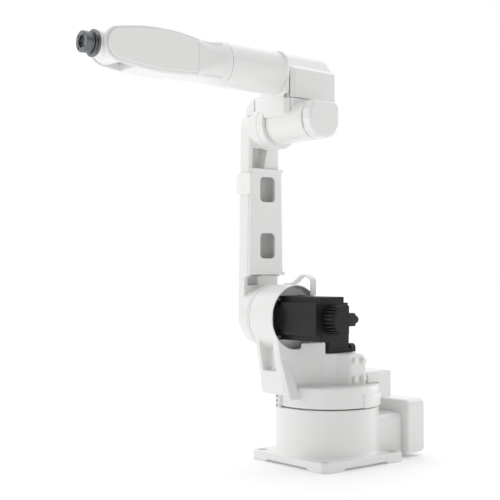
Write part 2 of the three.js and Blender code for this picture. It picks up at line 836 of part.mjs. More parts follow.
function rollParts() {
  return [
    piece("wrist_housing", wristHousing(), white),
    piece("wrist_cover_right", wristCover(1), white),
    piece("wrist_cover_left", wristCover(-1), white),
    piece("j5_motor", wristMotor(pivot.motorX[0]), black),
    piece("j6_motor", wristMotor(pivot.motorX[1]), black),
  ];
}

function wristBody() {
  const barrel = softRod("Y", 44, -wrist.inner + 0.6, wrist.inner - 0.6, 2);
  const snout = softRod("X", tool.snoutRadius, 0, tool.snout, 2);
  const seat = pivot.radius + GAP;
  const pivots = joined(rod("Y", seat, -50, -pivot.inner, SMALL), rod("Y", seat, pivot.inner, 50, SMALL));
  return cut(joined(barrel, snout), rod("X", 15, 5, 60, SMALL), pivots);
}

function pivotPin(side) {
  const near = pivot.inner + GAP;
  const [a, b] = side > 0 ? [near, wrist.cheek] : [-wrist.cheek, -near];
  return rod("Y", pivot.radius, a, b, SMALL);
}

function flangeHousing() {
  const low = tool.snout + GAP;
  const rim = tool.snoutRadius + 1;
  return turned([
    [15, low], [rim - 3, low], [rim, low + 3], [rim, low + 7], [30, low + 9],
    [30, tool.housingEnd + GAP], [15, tool.housingEnd + GAP], [15, low],
  ], "X");
}

function toolFlange() {
  const { housingEnd, end, radius, lip, boltCircle, bolt } = tool;
  const low = housingEnd + 2 * GAP;
  const body = turned([
    [0, low], [radius - 2, low], [radius - 2, low + 6], [radius, low + 8], [radius, end - 2],
    [radius - 1.5, end], [lip, end], [lip, end - 9], [0, end - 9],
  ], "X");
  const holes = [45, 135, 225, 315].map((turn) => {
    const angle = THREE.MathUtils.degToRad(turn);
    const spot = [0, boltCircle * Math.cos(angle), boltCircle * Math.sin(angle)];
    return rod("X", bolt, end - 10, end + 1, TINY).translate(spot);
  });
  return cut(body, ...holes);
}

function tiltParts() {
  return [
    piece("wrist_body", wristBody(), white),
    piece("j5_pivot_pin_right", pivotPin(1), steel),
    piece("j5_pivot_pin_left", pivotPin(-1), steel),
    piece("j6_output_housing", flangeHousing(), gunmetal),
    piece("tool_flange", toolFlange(), gunmetal),
  ];
}

// ------------------------------------------------------------------ assembly
const tilt = group(axes.forearm, 0, 0, ...tiltParts());
const roll = group(0, 0, axes.elbowRise, ...rollParts(), tilt);
const elbowGroup = group(0, 0, axes.upperArm, ...elbowParts(), roll);
const upperArm = group(axes.shoulderX, 0, axes.shoulderZ, ...upperArmParts(), elbowGroup);
const robotArm = group(0, 0, 0, ...baseParts(), ...turretParts(), upperArm);

export default robotArm;
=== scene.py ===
"""Looks of a six-axis robot arm: every casting, cover and motor case that shows is
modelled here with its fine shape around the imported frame, and hidden pieces keep their
CAD shape. Shapes are drawn in millimetres, most of them about their own joint axis, and
written in metres in the frame's place."""

import json
import math

import bmesh
import bpy
from mathutils import Matrix, Vector


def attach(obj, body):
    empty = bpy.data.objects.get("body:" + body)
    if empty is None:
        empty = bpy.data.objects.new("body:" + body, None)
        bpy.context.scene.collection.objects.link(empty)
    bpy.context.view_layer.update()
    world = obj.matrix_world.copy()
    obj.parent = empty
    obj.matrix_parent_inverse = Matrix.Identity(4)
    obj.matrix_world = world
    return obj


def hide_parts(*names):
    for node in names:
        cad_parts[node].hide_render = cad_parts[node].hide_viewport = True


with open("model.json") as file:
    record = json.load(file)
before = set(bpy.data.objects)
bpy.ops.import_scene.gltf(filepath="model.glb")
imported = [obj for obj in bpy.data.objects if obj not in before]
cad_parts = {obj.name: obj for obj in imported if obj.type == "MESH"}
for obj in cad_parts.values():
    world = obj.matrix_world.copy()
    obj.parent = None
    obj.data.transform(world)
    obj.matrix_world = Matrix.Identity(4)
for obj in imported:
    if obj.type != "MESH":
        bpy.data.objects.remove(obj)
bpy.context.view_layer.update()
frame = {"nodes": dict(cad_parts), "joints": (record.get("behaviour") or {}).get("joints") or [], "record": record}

MM = 0.001
GAP = 0.4  # clearance between pieces that rest on each other
ROUND = 128  # facets of a large round piece
SMALL = 40  # facets of a small round piece
MEDIUM = 64  # facets of a plug or gland
QUARTER = 8  # steps in a rounded corner
RIM = 6  # steps in the rounded rim of a pulled outline

# Joint axes in the frame's place, in millimetres.
PIVOT = {j["name"]: Vector(j["pos_m"]) / MM for j in frame["joints"]}
SHOULDER = PIVOT["j2_lean"]
ELBOW = PIVOT["j3_elbow"]
WRIST = PIVOT["j5_bend"]
FOREARM = Vector((ELBOW.x, 0, WRIST.z))  # on the forearm's axis, above the elbow
UPPER_ARM = ELBOW.z - SHOULDER.z
RISE = WRIST.z - ELBOW.z  # from the elbow up to the forearm's axis
REACH = WRIST.x - ELBOW.x  # from the elbow forward to the wrist


# ------------------------------------------------------------------- outlines
def arc(cx, cy, radius, start, end, steps):
    """Points of an arc between two headings in degrees."""
    turns = [math.radians(start + (end - start) * i / steps) for i in range(steps + 1)]
    return [(cx + radius * math.cos(t), cy + radius * math.sin(t)) for t in turns]


def rounded(points, radius, closed=True):
    """A polygon with its corners turned into arcs. radius is one number or one for each corner."""
    count = len(points)
    radii = radius if isinstance(radius, (list, tuple)) else [radius] * count
    made = []
    for i, point in enumerate(points):
        here = Vector(point)
        ends = not closed and i in (0, count - 1)
        if ends or radii[i] <= 0:
            made.append(tuple(here))
            continue
        before = Vector(points[i - 1]) - here
        after = Vector(points[(i + 1) % count]) - here
        half = before.angle(after) / 2
        reach = min(radii[i] / math.tan(half), 0.49 * before.length, 0.49 * after.length)
        bend = reach * math.tan(half)
        first = here + before.normalized() * reach
        middle = here + (before.normalized() + after.normalized()).normalized() * (bend / math.sin(half))
        start = first - middle
        last = here + after.normalized() * reach - middle
        sweep = start.angle_signed(last)
        for step in range(QUARTER + 1):
            turn = Matrix.Rotation(-sweep * step / QUARTER, 2)
            made.append(tuple(middle + turn @ start))
    return made


def rectangle(x0, y0, x1, y1, radius=0.0):
    points = [(x0, y0), (x1, y0), (x1, y1), (x0, y1)]
    return rounded(points, radius) if radius else points


def cut_square(half, leg, soft=2.0):
    """A square with cut corners."""
    near = half - leg
    points = [
        (half, -near), (half, near), (near, half), (-near, half),
        (-half, near), (-half, -near), (-near, -half), (near, -half),
    ]
    return rounded(points, soft)


def notched_square(half, leg, soft):
    """A square with a square notch in each corner."""
    near = half - leg
    quarter = [Vector((half, -near)), Vector((half, near)), Vector((near, near))]
    points = [tuple(Matrix.Rotation(math.radians(90 * turn), 2) @ p) for turn in range(4) for p in quarter]
    return rounded(points, soft)


def link(low, high, length):
    """Two circles joined by their outer tangents."""
    lean = math.degrees(math.asin((low - high) / length))
    return arc(0, length, high, lean, 180 - lean, 48) + arc(0, 0, low, 180 - lean, 360 + lean, 48)


def cradle(half, top, corner):
    """Flat on top, round below."""
    shoulders = rounded([(half, 0), (half, top), (-half, top), (-half, 0)], corner, closed=False)
    return shoulders[1:-1] + arc(0, 0, half, 180, 360, 64)


def curve_through(points, steps=14):
    """A Catmull-Rom curve through the points."""
    line = [Vector(p) for p in (points[0], *points, points[-1])]
    made = []
    for a, b, c, d in zip(line, line[1:], line[2:], line[3:]):
        for step in range(steps):
            t = step / steps
            made.append(tuple(
                b + 0.5 * t * (c - a)
                + t * t * (a - 2.5 * b + 2 * c - 0.5 * d)
                + t * t * t * (1.5 * (b - c) + 0.5 * (d - a))
            ))
    return made + [tuple(line[-1])]


# --------------------------------------------------------------------- solids
def body_from(points, faces):
    """A closed mesh object from points in millimetres."""
    mesh = bpy.data.meshes.new("shape")
    mesh.from_pydata([Vector(p) * MM for p in points], [], faces)
    edit = bmesh.new()
    edit.from_mesh(mesh)
    bmesh.ops.remove_doubles(edit, verts=edit.verts, dist=1e-6)
    bmesh.ops.recalc_face_normals(edit, faces=edit.faces)
    edit.to_mesh(mesh)
    edit.free()
    made = bpy.data.objects.new("shape", mesh)
    bpy.context.scene.collection.objects.link(made)
    return made


def placed(axis, u, v, w):
    """Outlines for X are drawn in (y, z), for Y in (x, z) and for Z in (x, y)."""
    return {"X": (w, u, v), "Y": (u, w, v), "Z": (u, v, w)}[axis]


def inset(outline, depth):
    """The outline moved inwards by depth along its mitred normals."""
    area = sum(a[0] * b[1] - b[0] * a[1] for a, b in zip(outline, outline[1:] + outline[:1]))
    side = 1 if area > 0 else -1
    made = []
    for i, point in enumerate(outline):
        here = Vector(point)
        before = (here - Vector(outline[i - 1])).normalized()
        after = (Vector(outline[(i + 1) % len(outline)]) - here).normalized()
        first = Vector((before.y, -before.x))
        second = Vector((after.y, -after.x))
        mitre = (first + second) / max(0.3, 1 + first.dot(second))
        made.append(tuple(here - mitre * depth * side))
    return made


def pulled(outline, axis, low, high, edge=0.0):
    """An outline pulled along an axis, with both rims rounded by edge."""
    outline = [p for i, p in enumerate(outline) if (Vector(p) - Vector(outline[i - 1])).length > 1e-3]
    rims = [(0, 0)]
    if edge:
        turns = [math.pi / 2 * i / RIM for i in range(RIM + 1)]
        rims = [(edge * (1 - math.cos(t)), edge * (1 - math.sin(t))) for t in turns]
    layers = [(low + d, g) for d, g in rims] + [(high - d, g) for d, g in reversed(rims)]
    count = len(outline)
    points = []
    for height, depth in layers:
        points += [placed(axis, u, v, height) for u, v in inset(outline, depth)]
    faces = [tuple(range(count)), tuple(range(len(points) - count, len(points)))]
    for level in range(len(layers) - 1):
        start = level * count
        for i in range(count):
            j = (i + 1) % count
            faces.append((start + i, start + j, start + count + j, start + count + i))
    return body_from(points, faces)


def turned(profile, axis, segments=ROUND, soft=0.0):
    """A turned piece. profile holds (radius, height) from the axis back to the axis."""
    line = rounded(profile, soft, closed=False) if soft else profile
    points = []
    rows = []
    for radius, height in line:
        if radius < 1e-6:
            rows.append([len(points)])
            points.append(placed(axis, 0, 0, height))
            continue
        rows.append(list(range(len(points), len(points) + segments)))
        for i in range(segments):
            turn = 2 * math.pi * (i + 0.5) / segments
            points.append(placed(axis, radius * math.cos(turn), radius * math.sin(turn), height))
    faces = []
    for low, high in zip(rows, rows[1:]):
        for i in range(segments):
            j = (i + 1) % segments
            ring = [low[i % len(low)], low[j % len(low)], high[j % len(high)], high[i % len(high)]]
            face = tuple(dict.fromkeys(ring))
            if len(face) > 2:
                faces.append(face)
    return body_from(points, faces)


def rod(axis, radius, low, high, segments=ROUND, soft=0.0):
    """A solid cylinder."""
    return turned([(0, low), (radius, low), (radius, high), (0, high)], axis, segments, soft)


def block(x0, x1, y0, y1, z0, z1):
    """A plain box, used as material to join or cut."""
    return pulled(rectangle(x0, y0, x1, y1), "Z", z0, z1)


def moved(body, offset):
    """Shifts the mesh by millimetres."""
    body.data.transform(Matrix.Translation(Vector(offset) * MM))
    return body


def spun(body, heading):
    """Turns the mesh about the first axis by degrees."""
    body.data.transform(Matrix.Rotation(math.radians(heading), 4, "Z"))
    return body


def bake(body):
    """The modifiers become the mesh."""
    graph = bpy.context.evaluated_depsgraph_get()
    mesh = bpy.data.meshes.new_from_object(body.evaluated_get(graph))
    body.modifiers.clear()
    body.data = mesh
    return body


def combined(body, tools, operation):
    for tool in tools:
        step = body.modifiers.new("shape", "BOOLEAN")
        step.operation = operation
        step.solver = "MANIFOLD"
        step.object = tool
    bake(body)
    for tool in tools:
        bpy.data.objects.remove(tool)
    return body


def joined(body, *tools):
    return combined(body, tools, "UNION")


def cut(body, *tools):
    return combined(body, tools, "DIFFERENCE")


def cast(body, grain, passes, share):
    """Rounds every edge and inner corner, as a sand casting under paint has them. share is
    the part of the faces that is kept."""
    remesh = body.modifiers.new("grain", "REMESH")
    remesh.mode = "VOXEL"
    remesh.voxel_size = grain * MM
    smooth = body.modifiers.new("smooth", "SMOOTH")
    smooth.iterations = passes
    thin = body.modifiers.new("thin", "DECIMATE")
    thin.ratio = share
    return bake(body)


def finished(body, name, rides_on, slot, node, sharp=35.0):
    """Names the piece, shades it and lets it stand for its CAD node. Faces that meet at
    more than sharp degrees keep a crisp edge, and 0 leaves all edges soft."""
    body.name = name
    body.data.name = name
    body.data.shade_smooth()
    if sharp:
        body.data.set_sharp_from_angle(angle=math.radians(sharp))
    even = body.modifiers.new("even", "WEIGHTED_NORMAL")
    even.keep_sharp = True
    body.data.materials.clear()
    body.data.materials.append(MATERIALS[slot])
    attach(body, rides_on)
    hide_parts(node)


# ------------------------------------------------------------------ materials
NOISE_SPAN = (0.3, 0.7)  # where most of a noise's values lie
COAT_ROUGHNESS = 0.16
GRAIN_HEIGHT = 0.0002  # in metres
MARK_HEIGHT = 0.0001


def node_of(tree, kind, place, **values):
    """A shader node at a place in the node editor, with its settings or input values."""
    made = tree.nodes.new(kind)
    made.location = place
    for key, value in values.items():
        if hasattr(made, key):
            setattr(made, key, value)
        else:
            made.inputs[key.replace("_", " ")].default_value = value
    return made


def noise(tree, coordinate, scale, detail, place):
    made = node_of(tree, "ShaderNodeTexNoise", place, Scale=scale, Detail=detail)
    tree.links.new(coordinate, made.inputs["Vector"])
    return made.outputs["Fac"]


def mapped(tree, source, span, onto, place):
    """source, mapped from one range onto another."""
    made = node_of(tree, "ShaderNodeMapRange", place)
    for key, value in zip(("From Min", "From Max", "To Min", "To Max"), (*span, *onto)):
        made.inputs[key].default_value = value
    tree.links.new(source, made.inputs["Value"])
    return made.outputs["Result"]


def spread(tree, source, low, high, place):
    """A noise, stretched from the middle of its range to low..high."""
    return mapped(tree, source, NOISE_SPAN, (low, high), place)


def blend_of(tree, share, first, second, place):
    """Two colours, mixed by share."""
    made = node_of(tree, "ShaderNodeMix", place, data_type="RGBA")
    made.inputs["A"].default_value = (*first, 1)
    made.inputs["B"].default_value = (*second, 1)
    tree.links.new(share, made.inputs["Factor"])
    return made.outputs["Result"]


def surface(name, light, dark, roughness, grain, bump, metallic=0.0, coat=0.0, patch=3.0, gloss=0.5):
    """A coated surface: slow patches of tone, a fine grain in gloss and height."""
    made = bpy.data.materials.new(name)
    made.use_nodes = True
    tree = made.node_tree
    shader = tree.nodes["Principled BSDF"]
    shader.inputs["Metallic"].default_value = metallic
    shader.inputs["Coat Weight"].default_value = coat
    shader.inputs["Coat Roughness"].default_value = COAT_ROUGHNESS
    shader.inputs["Specular IOR Level"].default_value = gloss
    place = node_of(tree, "ShaderNodeTexCoord", (-1100, 0)).outputs["Object"]
    slow = noise(tree, place, patch, 3, (-900, 250))
    fine = noise(tree, place, grain, 2, (-900, 0))
    tone = blend_of(tree, spread(tree, slow, 0, 1, (-700, 250)), light, dark, (-450, 250))
    tree.links.new(tone, shader.inputs["Base Color"])
    wear = noise(tree, place, patch * 9, 4, (-900, -250))
    tree.links.new(spread(tree, wear, *roughness, (-700, -250)), shader.inputs["Roughness"])
    relief = node_of(tree, "ShaderNodeBump", (-250, -350), Strength=bump, Distance=GRAIN_HEIGHT)
    tree.links.new(fine, relief.inputs["Height"])
    tree.links.new(relief.outputs["Normal"], shader.inputs["Normal"])
    return made


def lathe_marks(made, axis, pitch, depth):
    """Adds turning marks round an axis to a metal."""
    tree = made.node_tree
    place = tree.nodes["Texture Coordinate"].outputs["Object"]
    rings = node_of(tree, "ShaderNodeTexWave", (-900, -500), wave_type="BANDS", bands_direction=axis)
    rings.inputs["Scale"].default_value = pitch
    rings.inputs["Distortion"].default_value = 0.4
    tree.links.new(place, rings.inputs["Vector"])
    relief = tree.nodes["Bump"]
    extra = node_of(tree, "ShaderNodeBump", (-450, -500), Strength=depth, Distance=MARK_HEIGHT)
    tree.links.new(rings.outputs["Fac"], extra.inputs["Height"])
    tree.links.new(extra.outputs["Normal"], relief.inputs["Normal"])


PAINT = (0.82, 0.82, 0.81)
PAINT_SHADE = (0.812, 0.812, 0.802)
COVER = (0.83, 0.83, 0.82)
COVER_SHADE = (0.822, 0.822, 0.812)
BLACK = (0.016, 0.0165, 0.018)
BLACK_SHADE = (0.013, 0.013, 0.0145)
MOULDING = (0.018, 0.018, 0.019)
MOULDING_SHADE = (0.014, 0.014, 0.015)
BLACKENED = (0.19, 0.20, 0.21)
BLACKENED_SHADE = (0.14, 0.145, 0.155)
STEEL = (0.56, 0.56, 0.57)
STEEL_SHADE = (0.48, 0.48, 0.49)
RUBBER = (0.02, 0.02, 0.02)
RUBBER_BLOOM = (0.03, 0.03, 0.03)
PLUG = (0.88, 0.88, 0.86)
PLUG_SHADE = (0.84, 0.84, 0.82)

# Each row is a slot's two tones, its range of roughness, the scale and strength of its grain,
# and what it has of its own.
SURFACES = {
    "base_white": (PAINT, PAINT_SHADE, (0.34, 0.4), 420, 0.16, {"coat": 0.45}),
    "arm_white": (PAINT, PAINT_SHADE, (0.32, 0.38), 420, 0.14, {"coat": 0.4}),
    "cover_white": (COVER, COVER_SHADE, (0.28, 0.33), 700, 0.08, {"coat": 0.4}),
    "motor_black": (BLACK, BLACK_SHADE, (0.42, 0.52), 900, 0.3, {"patch": 12, "gloss": 0.22}),
    "connector_black": (MOULDING, MOULDING_SHADE, (0.5, 0.6), 1300, 0.35, {"gloss": 0.3}),
    "gunmetal": (BLACKENED, BLACKENED_SHADE, (0.26, 0.38), 600, 0.1, {"metallic": 0.9}),
    "plain_steel": (STEEL, STEEL_SHADE, (0.24, 0.36), 800, 0.12, {"metallic": 1.0}),
    "seal_rubber": (RUBBER, RUBBER_BLOOM, (0.6, 0.75), 1500, 0.3, {}),
    "plug_white": (PLUG, PLUG_SHADE, (0.25, 0.32), 900, 0.06, {"coat": 0.2}),
}
MATERIALS = {slot: surface(slot, *row[:-1], **row[-1]) for slot, row in SURFACES.items()}
lathe_marks(MATERIALS["gunmetal"], "X", 420, 0.25)


# ----------------------------------------------------------------------- base
PLATE = 170  # half of the base plate
PLATE_TOP = 28
PLATE_CUT = 18  # the plate's cut corners
PAD = 80  # a corner pad's side and the middle pad's radius
BOLT = 140  # a base bolt's place along X and along Y
DRUM = 159
BASE_TOP = 170
PANEL_FACE = -288.4  # where the connectors rest on the rear panel
FITTING_HEIGHT = 42


def base_casting():
    plate = pulled(cut_square(PLATE, PLATE_CUT, soft=5), "Z", 6, PLATE_TOP, 3)
    inner = PLATE - PAD
    near = PLATE - PLATE_CUT
    pads = []
    for sx in (-1, 1):
        for sy in (-1, 1):
            corner = [(inner, inner), (PLATE, inner), (PLATE, near), (near, PLATE), (inner, PLATE)]
            outline = rounded([(sx * x, sy * y) for x, y in corner], 4)
            pads.append(pulled(outline, "Z", 0, 9, 1.5))
    seat = rod("Z", PAD, 0, 9, soft=1)
    drum = turned([
        (0, 7), (166, 7), (166, 29), (160, 34), (DRUM, 42), (DRUM, BASE_TOP), (0, BASE_TOP),
    ], "Z", soft=2.5)
    neck = pulled(rounded([(-124, 16), (124, 16), (124, 139), (-124, 139)], [0, 0, 18, 18]), "X", -205, -80)
    body = joined(plate, *pads, seat, drum, neck)
    tools = [rod("Z", 122, 45, BASE_TOP + 1), block(-206, 0, -80, 80, 58, 118)]
    for sx in (-BOLT, BOLT):
        for sy in (-BOLT, BOLT):
            tools.append(moved(rod("Z", 9, -1, PLATE_TOP + 1, SMALL), (sx, sy, 0)))
            tools.append(moved(rod("Z", 15, PLATE_TOP - 9, PLATE_TOP + 1, SMALL), (sx, sy, 0)))
    return cast(cut(body, *tools), 2.0, 4, 0.3)


def connector_box():
    shell = pulled(rectangle(-149, 12, 149, 180, 16), "X", -284, -205.4, 7)
    room = block(-290, -212, -142, 142, 19, 173)
    window = block(-214, -200, -78, 78, 60, 116)
    return cut(shell, room, window)


def connector_panel():
    lid = pulled(rectangle(-141.6, 19.4, 141.6, 172.6, 5), "X", -288, -284.4, 0.8)
    screws = [
        moved(turned([(0, -2.2), (3.5, -2.2), (4.5, -1), (4.5, 1), (0, 1)], "X", SMALL), (-288, y, z))
        for y in (-132, 0, 132) for z in (28, 164)
    ]
    return joined(lid, *screws)


def connector_layer(centre, half, margin, low, high, edge):
    """One step of a connector: its outline set in by margin, between two depths."""
    bottom, top = 66 + margin, 126 - margin
    corner = 3 if margin > 10 else 6
    outline = rectangle(centre - half, bottom, centre + half, top, corner)
    return pulled(outline, "X", PANEL_FACE + low, PANEL_FACE + high, edge)


def heavy_connector(centre, half):
    """A bolted foot, a hood and two rows of pins in an open socket."""
    foot = connector_layer(centre, half, 0, -8, 0, 1.2)
    hood = connector_layer(centre, half - 6, 8, -26, -6, 2.5)
    socket = connector_layer(centre, half - 11, 13, -27, -18, 0)
    reach = int(half / 12)
    pins = [
        moved(rod("X", 1.6, PANEL_FACE - 24, PANEL_FACE - 17, 16, 0.5), (0, centre + step * 7, 96 + row * 8))
        for step in range(-reach, reach + 1) for row in (-1, 1)
    ]
    return joined(cut(joined(foot, hood), socket), *pins)


def air_fitting(centre):
    """A hexagon nut and a barb for a hose."""
    nut = pulled(arc(0, 0, 10, 0, 300, 5), "X", -8, 0, 0.6)
    barb = turned([
        (0, -22), (4.5, -22), (6, -18), (4.6, -17.5), (6, -13), (4.6, -12.5), (5, -7), (0, -7),
    ], "X", SMALL)
    return moved(joined(nut, barb), (PANEL_FACE, centre, FITTING_HEIGHT))


def build_base():
    finished(base_casting(), "base_housing", "base", "base_white", "base_casting", 0)
    finished(connector_box(), "rear_connector_box", "base", "base_white", "connector_box")
    finished(connector_panel(), "rear_connector_panel", "base", "base_white", "connector_panel")
    finished(heavy_connector(-80, 44), "power_inlet", "base", "connector_black", "power_connector")
    finished(heavy_connector(10, 34), "signal_inlet", "base", "connector_black", "signal_connector")
    finished(air_fitting(64), "air_inlet_1", "base", "plain_steel", "air_fitting_1")
    finished(air_fitting(88), "air_inlet_2", "base", "plain_steel", "air_fitting_2")


# --------------------------------------------------------------------- turret
MOTOR_END = 178  # the shoulder motor's square body, then its round rear cover
RIBS_END = 226
CAP_RADIUS = 43
CAP_SIDE = -14  # where the rear cover is cut flat
TRUNK_TOP = 415  # the first axis's motor, then its cap
BOSS_FACE = 104  # the face that holds the blanking plugs
STOP_HEADING = -17
HOUSING = 98  # radius of the shoulder housing
FAR = -79  # its face on the arm's side, along Y
NEAR = 27  # its face on the motor's side
RACE = 173  # underside of the turret's drum
PLATFORM = 331  # where the first axis's motor stands
WEB = 366  # top of the rib behind the column


def column():
    outline = rounded([
        (120, 212), (192, 212), (199, 218), (207, 276), (225, 379), (190, 430), (120, 430),
        (110, 366), (110, 230),
    ], 6)
    return pulled(outline, "Y", FAR, NEAR, 5)


def hull(points):
    mesh = bpy.data.meshes.new("shape")
    edit = bmesh.new()
    for point in points:
        edit.verts.new(Vector(point) * MM)
    bmesh.ops.convex_hull(edit, input=edit.verts)
    edit.to_mesh(mesh)
    edit.free()
    made = bpy.data.objects.new("shape", mesh)
    bpy.context.scene.collection.objects.link(made)
    return made


def gusset():
    """The column's motor side flares out towards its foot."""
    inside = NEAR - 7
    return hull([
        (220, inside, 363), (198, inside, 363), (196, inside, 200), (140, inside, 200),
        (190, 46, 200), (150, 46, 200),
    ])


def rear_casting():
    far = FAR + 6
    web = pulled(rounded([(180, 20), (120, 34), (59, 60), (59, far), (180, far)], 5), "Z", 234, WEB, 3)
    plan = [(70, 58), (56, 62), (30, 74), (2, BOSS_FACE), (-70, BOSS_FACE), (-70, far), (70, far)]
    low = pulled(rounded(plan, [4, 8, 30, 16, 10, 10, 4]), "Z", 234, PLATFORM, 3)
    side = [(-75, PLATFORM - 34), *arc(-36, PLATFORM - 34, 34, 180, 90, 16)]
    side += [(-36, PLATFORM + 6), (-75, PLATFORM + 6)]
    rounding = pulled(side, "Y", 60, 110)
    return joined(cut(low, rounding), web)


def drum_pad():
    outline = arc(0, 0, DRUM + 6, 89, 135, 40) + arc(0, 0, DRUM - 8, 135, 89, 40)
    return pulled(outline, "Z", RACE, 212, 2)


def turret_casting():
    drum = rod("Z", DRUM, RACE, 236, soft=4)
    hollow = rod("Z", 132, 170, 222)
    housing = moved(rod("Y", HOUSING, FAR, NEAR, soft=3), SHOULDER)
    seat = moved(rod("Y", 94, -6, NEAR + 2), SHOULDER)
    bore = moved(rod("Y", 46, FAR - 2, 0), SHOULDER)
    pocket = pulled(rectangle(-60, 283, 0, 379, 6), "X", 184, 240)
    solids = (cut(column(), pocket), gusset(), rear_casting(), housing, drum_pad())
    body = joined(cut(drum, hollow), *solids)
    return cast(cut(body, seat, bore), 1.9, 4, 0.3)


def stop_block():
    inner = DRUM + GAP
    lug = pulled(rectangle(inner - 6, -12, inner + 9, 12, 3), "Z", 167, 211, 2)
    return spun(cut(lug, rod("Z", inner, 160, 220)), STOP_HEADING)


def socket_screw(radius, height, axis="X"):
    """A socket-head screw on an axis, its head from 0 to height."""
    head = turned([(0, 0), (radius, 0), (radius, height), (0, height)], axis, SMALL, 0.6)
    hexagon = arc(0, 0, radius * 0.5, 0, 300, 5)
    return cut(head, pulled(hexagon, axis, height * 0.45, height + 1))


def first_motor():
    low = PLATFORM + GAP
    flange = pulled(cut_square(56, 8), "Z", low, low + 12, 1.5)
    trunk = pulled(cut_square(54, 12, soft=3), "Z", low + 11, TRUNK_TOP, 1.5)
    return joined(flange, trunk)


def first_motor_cap():
    return pulled(rectangle(-42, -42, 42, 42, 14), "Z", TRUNK_TOP + GAP, 468, 4)


def first_motor_plug():
    low = PLATFORM + GAP
    outline = [(22, low), (50, low)] + arc(36, low + 12, 14, 0, 180, 24)
    face = -56 - GAP
    shell = pulled(outline, "X", face - 20, face, 1.5)
    nut = moved(rod("X", 8, face - 19.8, face - 14, SMALL, 1), (0, 36, low + 12))
    return joined(shell, nut)


def gland_plug():
    profile = [(0, 0), (11, 0), (11, 3), (9.5, 3.4), (9.2, 8), (6, 11), (0, 11)]
    return moved(turned(profile, "Y", MEDIUM, 0.8), (0, BOSS_FACE + GAP, 0))


def rear_box():
    """A box whose roof reaches over the drum, hollowed to clear the drum's side."""
    side = [(-183, 188), (-78, 188), (-78, 258), (-71, 258), (-71, 272), (-183, 272)]
    box = pulled(rounded(side, [8, 2, 2, 3, 3, 8]), "Y", -78, 100, 4)
    return cut(box, rod("Z", DRUM + 2 * GAP, 180, 237))


def strip(path, half):
    """The outline of a strap of even thickness along a bent path."""
    line = [Vector(p) for p in path]
    left, right = [], []
    for i, here in enumerate(line):
        along = (line[min(i + 1, len(line) - 1)] - line[max(i - 1, 0)]).normalized()
        side = Vector((-along.y, along.x)) * half
        left.append(tuple(here + side))
        right.append(tuple(here - side))
    return left + right[::-1]


def lifting_strap():
    bends = [(-62, 540.5), (-24, 541), (12, 566), (36, 568.5), (60, 556), (60, 508)]
    path = rounded(bends, [0, 40, 30, 26, 12, 0], closed=False)
    return pulled(strip(path, 3), "X", 104, 124, 1)


def motor_flange():
    return moved(pulled(cut_square(65, 13, soft=3), "Y", -5.6, 8, 1), SHOULDER)


def motor_body():
    throat = pulled(cut_square(64, 34, soft=3), "Y", 8 + GAP, 30)
    trunk = pulled(notched_square(64, 17, 1.5), "Y", 28, MOTOR_END, 1)
    return moved(joined(throat, trunk), SHOULDER)


def cap_flat():
    """The side of the rear cover that is cut away for the connector."""
    return block(-60, CAP_SIDE, MOTOR_END, 240, -60, 60)


def motor_ribs():
    count = 24
    valley = CAP_RADIUS - 6
    outline = []
    for i in range(count):
        for share, radius in ((0, CAP_RADIUS), (0.42, CAP_RADIUS), (0.5, valley), (0.92, valley)):
            turn = 2 * math.pi * (i + share) / count
            outline.append((radius * math.cos(turn), radius * math.sin(turn)))
    ribs = pulled(outline, "Y", MOTOR_END + 5, RIBS_END, 0.8)
    drum = rod("Y", valley + 1, MOTOR_END + GAP, MOTOR_END + 8, soft=0.5)
    return moved(cut(joined(ribs, drum), cap_flat()), SHOULDER)


def motor_cap():
    plate = rod("Y", CAP_RADIUS, RIBS_END + GAP, 232, soft=2.5)
    screws = [
        moved(socket_screw(3, 1.2, "Y"), (x, 230.7, z)) for x, z in ((33, 0), (10, 31), (10, -31))
    ]
    return moved(joined(cut(plate, cap_flat()), *screws), SHOULDER)


def motor_plug():
    shell = pulled(rectangle(196, -19, 230.5, 19, 6), "X", -43, CAP_SIDE - GAP, 2)
    collar = moved(turned([
        (0, -59), (9.5, -59), (11.4, -56), (11.4, -50), (13.5, -49), (13.5, -41), (0, -41),
    ], "X", MEDIUM, 0.5), (0, 216, 0))
    return moved(joined(shell, collar), SHOULDER)


def reducer_case():
    case = turned([
        (0, -95.4), (95, -95.4), (HOUSING, -93), (HOUSING, -88.5), (96, -88), (96, -86.5), (HOUSING, -86),
        (HOUSING, FAR - GAP), (0, FAR - GAP),
    ], "Y", ROUND, 0.5)
    return moved(cut(case, rod("Y", 46, -97, -70)), SHOULDER)


